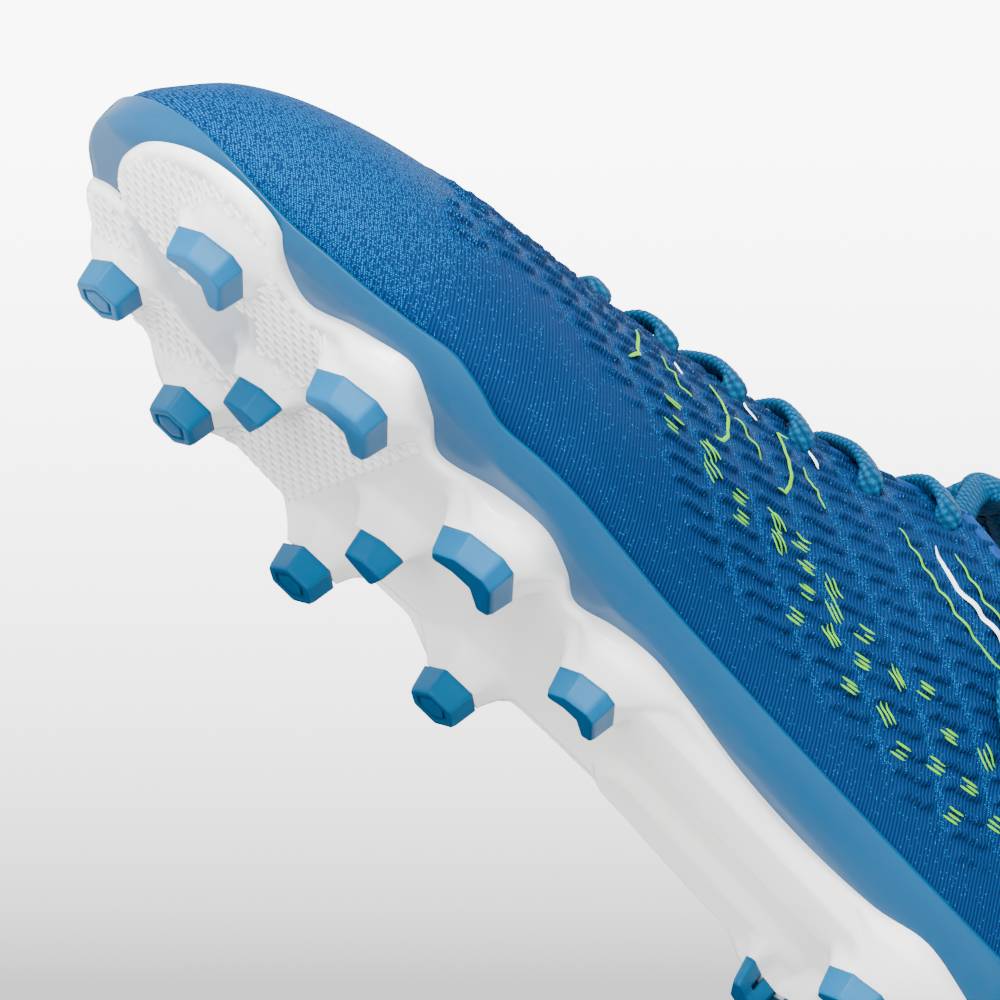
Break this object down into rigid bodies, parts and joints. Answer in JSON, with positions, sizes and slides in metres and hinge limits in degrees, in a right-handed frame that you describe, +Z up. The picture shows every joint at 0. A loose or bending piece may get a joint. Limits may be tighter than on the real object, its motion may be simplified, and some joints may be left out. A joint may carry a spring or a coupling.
{
  "type": "soccer cleat",
  "caption": "Left low-cut firm-ground football boot: laced knit upper, padded collar, tongue, loose sockliner and a moulded stud plate with separate tips.",
  "frame": {"origin": "middle of the underside of the shoe's box, on the ground that the studs stand on, free lace ends left out", "axes": "+X towards the toe, +Y towards the outer (lateral) side of this left shoe, +Z up"},
  "size_m": [0.2664, 0.0918, 0.1073],
  "materials": {
    "plate": "glossy moulded white",
    "stud_tip": "satin moulded sky blue",
    "rand": "glossy bright blue film",
    "knit": "fine knit, deep blue, with lime and white marks",
    "lining": "brushed lining cloth",
    "stiffener": "thermoplastic sheet",
    "eyestay": "thin reinforcing film",
    "foam": "open-cell foam",
    "board": "non-woven board",
    "sockliner": "brushed cloth",
    "tongue": "fine knit, deep blue",
    "lace": "braided, teal blue",
    "aglet": "clear-coated tip"
  },
  "bodies": {
    "shoe": {"outsole_plate": "plate", "sole_rand": "rand", "knit_upper": "knit", "upper_lining": "lining", "heel_counter": "stiffener", "toe_puff": "stiffener", "eyestay_lateral": "eyestay", "eyestay_medial": "eyestay", "vamp_foam": "foam", "insole_board": "board", "collar_foam": "foam", "collar_lining": "lining", "lace_crossings_1": "lace", "lace_crossings_2": "lace", "lace_knot": "lace", "lace_loop_lateral": "lace", "lace_loop_medial": "lace", "lace_end_lateral": "lace", "lace_end_medial": "lace", "aglet_lateral": "aglet", "aglet_medial": "aglet", "stud_tip_lateral_1": "stud_tip", "stud_tip_lateral_2": "stud_tip", "stud_tip_lateral_3": "stud_tip", "stud_tip_lateral_4": "stud_tip", "stud_tip_medial_1": "stud_tip", "stud_tip_medial_2": "stud_tip", "stud_tip_medial_3": "stud_tip", "stud_tip_medial_4": "stud_tip", "stud_tip_centre_1": "stud_tip", "stud_tip_centre_2": "stud_tip", "stud_tip_heel_lateral_1": "stud_tip", "stud_tip_heel_lateral_2": "stud_tip", "stud_tip_heel_medial_1": "stud_tip", "stud_tip_heel_medial_2": "stud_tip"},
    "tongue": {"tongue_cover": "tongue", "tongue_foam": "foam", "tongue_lining": "lining"},
    "sockliner": {"sockliner_foam": "foam", "sockliner_cover": "sockliner"}
  },
  "joints": [
    {"name": "tongue_hinge", "type": "hinge", "parent": "shoe", "child": "tongue", "pos_m": [0.06275, -0.00327, 0.052], "axis": [0, 1, 0], "range_deg": [-9, 0]},
    {"name": "sockliner_lift", "type": "hinge", "parent": "shoe", "child": "sockliner", "pos_m": [0.12475, -0.00527, 0.026], "axis": [0, 1, 0], "range_deg": [0, 4]}
  ]
}
